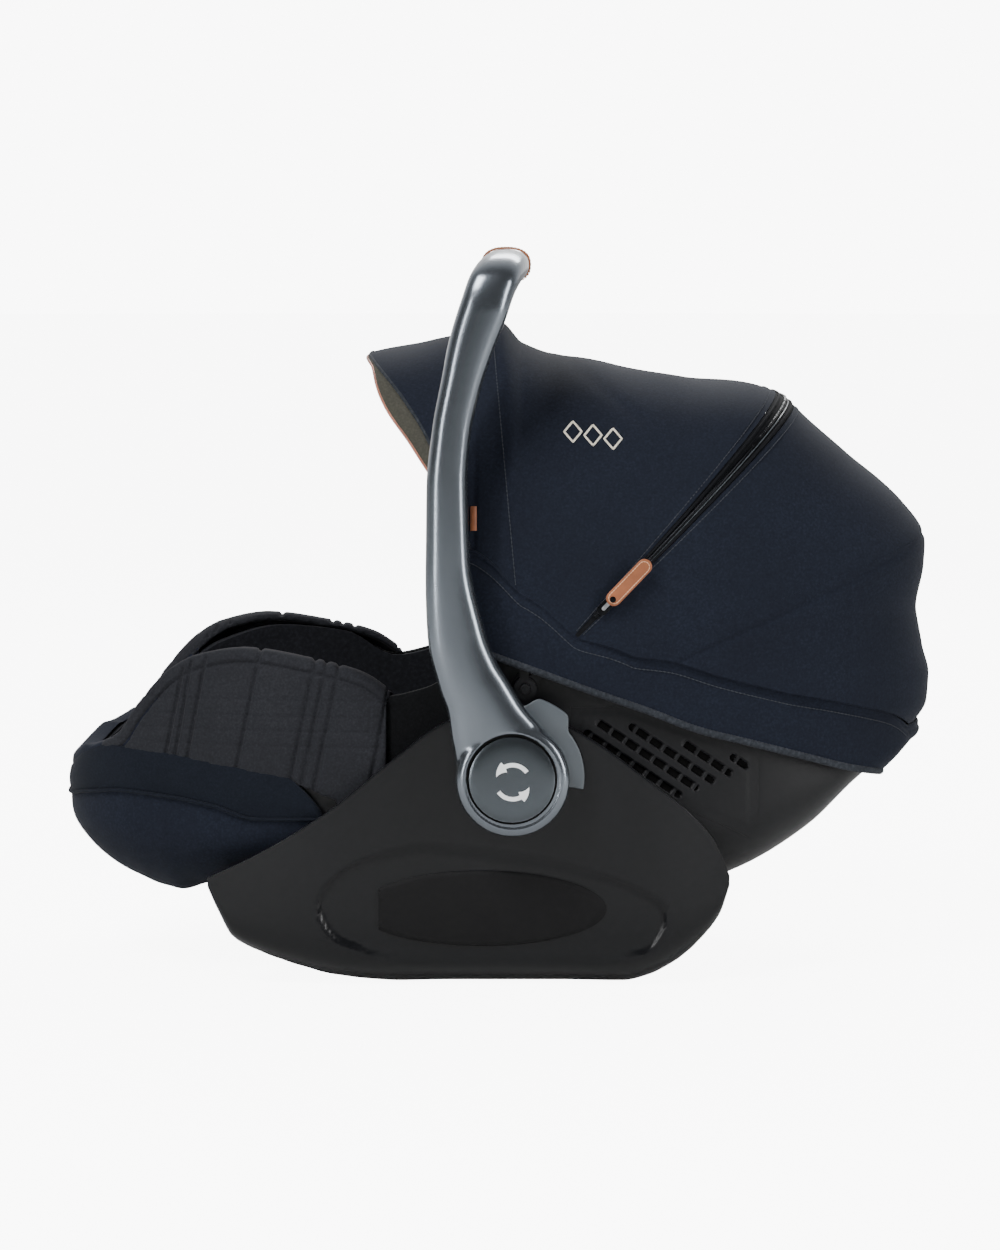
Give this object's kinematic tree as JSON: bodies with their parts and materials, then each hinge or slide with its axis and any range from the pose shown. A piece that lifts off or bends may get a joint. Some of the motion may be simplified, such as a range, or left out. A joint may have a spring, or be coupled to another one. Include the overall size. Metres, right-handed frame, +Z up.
{
  "type": "infant car seat",
  "caption": "Rearward-facing infant carrier lying flat: rocker base, reclining tub, folding zip canopy, harness and swinging carry handle.",
  "frame": {"origin": "on the ground under the middle of the whole object's box", "axes": "+X to the head end, +Z up, +Y to the child's right; the X-Z plane is the plane of symmetry"},
  "size_m": [0.718, 0.442, 0.5892],
  "materials": {
    "housing": "satin",
    "dark_pad": "matte",
    "steel": "satin",
    "plastic": "satin",
    "navy_fabric": "woven",
    "quilt_fabric": "quilted",
    "lining_fabric": "woven",
    "webbing": "woven",
    "gunmetal": "satin",
    "grey_plastic": "satin",
    "tan_leather": "grained",
    "red_plastic": "gloss"
  },
  "bodies": {
    "base": {"base_housing": "housing", "lock_bar_front": "steel", "lock_bar_rear": "steel", "side_pad_left": "dark_pad", "side_pad_right": "dark_pad", "pivot_pin_left": "steel", "pivot_pin_right": "steel"},
    "seat": {"seat_shell": "plastic", "seat_liner": "quilt_fabric", "body_insert": "quilt_fabric", "foot_boot": "navy_fabric", "foot_band": "navy_fabric", "head_skirt": "navy_fabric", "vent_grille_left": "plastic", "vent_grille_right": "plastic", "foot_cover_left": "quilt_fabric", "foot_cover_right": "quilt_fabric", "canopy_mount_left": "plastic", "canopy_mount_right": "plastic", "crotch_pad": "quilt_fabric", "crotch_strap": "webbing", "buckle_body": "plastic", "buckle_tongue_left": "steel", "buckle_tongue_right": "steel", "shoulder_strap_left": "webbing", "shoulder_strap_right": "webbing", "shoulder_pad_left": "quilt_fabric", "shoulder_pad_right": "quilt_fabric", "lap_strap_left": "webbing", "lap_strap_right": "webbing", "adjuster_housing": "plastic", "adjuster_strap": "webbing", "rear_bow": "plastic", "back_panel": "navy_fabric"},
    "headrest": {"headrest_pad": "quilt_fabric"},
    "buckle_release": {"buckle_button": "red_plastic"},
    "adjuster_release": {"adjuster_button": "grey_plastic"},
    "canopy_mid": {"rear_panel": "navy_fabric", "zip_bow": "plastic", "zip_tape": "webbing"},
    "zip_runner": {"zip_slider": "steel"},
    "zip_pull": {"zip_puller": "tan_leather"},
    "canopy_front": {"front_bow": "plastic", "front_panel": "navy_fabric", "visor_lining": "lining_fabric"},
    "handle": {"handle_arm_left": "gunmetal", "handle_arm_right": "gunmetal", "hub_cap_left": "gunmetal", "hub_cap_right": "gunmetal", "handle_crossbar": "gunmetal", "grip_cover": "tan_leather"},
    "release_left": {"release_button_left": "grey_plastic"},
    "release_right": {"release_button_right": "grey_plastic"}
  },
  "joints": [
    {"name": "seat_recline", "type": "hinge", "parent": "base", "child": "seat", "pos_m": [0.01, 0, 0.171], "axis": [0, 1, 0], "range_deg": [-4.5, 0]},
    {"name": "handle_swing", "type": "hinge", "parent": "base", "child": "handle", "pos_m": [0.01, 0, 0.171], "axis": [0, 1, 0], "range_deg": [-85, 105]},
    {"name": "release_left_press", "type": "slide", "parent": "base", "child": "release_left", "axis": [0, 1, 0], "range_m": [0, 0.004], "stiffness_N_per_m": 800, "springref_m": -0.002},
    {"name": "release_right_press", "type": "slide", "parent": "base", "child": "release_right", "axis": [0, -1, 0], "range_m": [0, 0.004], "stiffness_N_per_m": 800, "springref_m": -0.002},
    {"name": "canopy_mid_fold", "type": "hinge", "parent": "seat", "child": "canopy_mid", "pos_m": [0.02, 0, 0.24], "axis": [0, 1, 0], "range_deg": [0, 19], "deforming": ["rear_panel"]},
    {"name": "canopy_front_fold", "type": "hinge", "parent": "canopy_mid", "child": "canopy_front", "pos_m": [0.02, 0, 0.24], "axis": [0, 1, 0], "range_deg": [0, 40], "deforming": ["front_panel", "visor_lining"]},
    {"name": "zip_run", "type": "slide", "parent": "canopy_mid", "child": "zip_runner", "axis": [0.6909, 0, 0.723], "range_m": [0, 0.06]},
    {"name": "zip_pull_swing", "type": "hinge", "parent": "zip_runner", "child": "zip_pull", "pos_m": [0.08805, -0.1885, 0.31121], "axis": [0, 1, 0], "range_deg": [-40, 40]},
    {"name": "headrest_slide", "type": "slide", "parent": "seat", "child": "headrest", "axis": [0.9285, 0, 0.3714], "range_m": [0, 0.04]},
    {"name": "buckle_button_press", "type": "slide", "parent": "seat", "child": "buckle_release", "axis": [0, 0, -1], "range_m": [0, 0.003], "stiffness_N_per_m": 900, "springref_m": -0.002},
    {"name": "adjuster_button_press", "type": "slide", "parent": "seat", "child": "adjuster_release", "axis": [0, 0, -1], "range_m": [0, 0.0025], "stiffness_N_per_m": 900, "springref_m": -0.002}
  ],
  "couplings": [
    {"joint": "canopy_front_fold", "follows": "canopy_mid_fold", "ratio": 2.1}
  ]
}
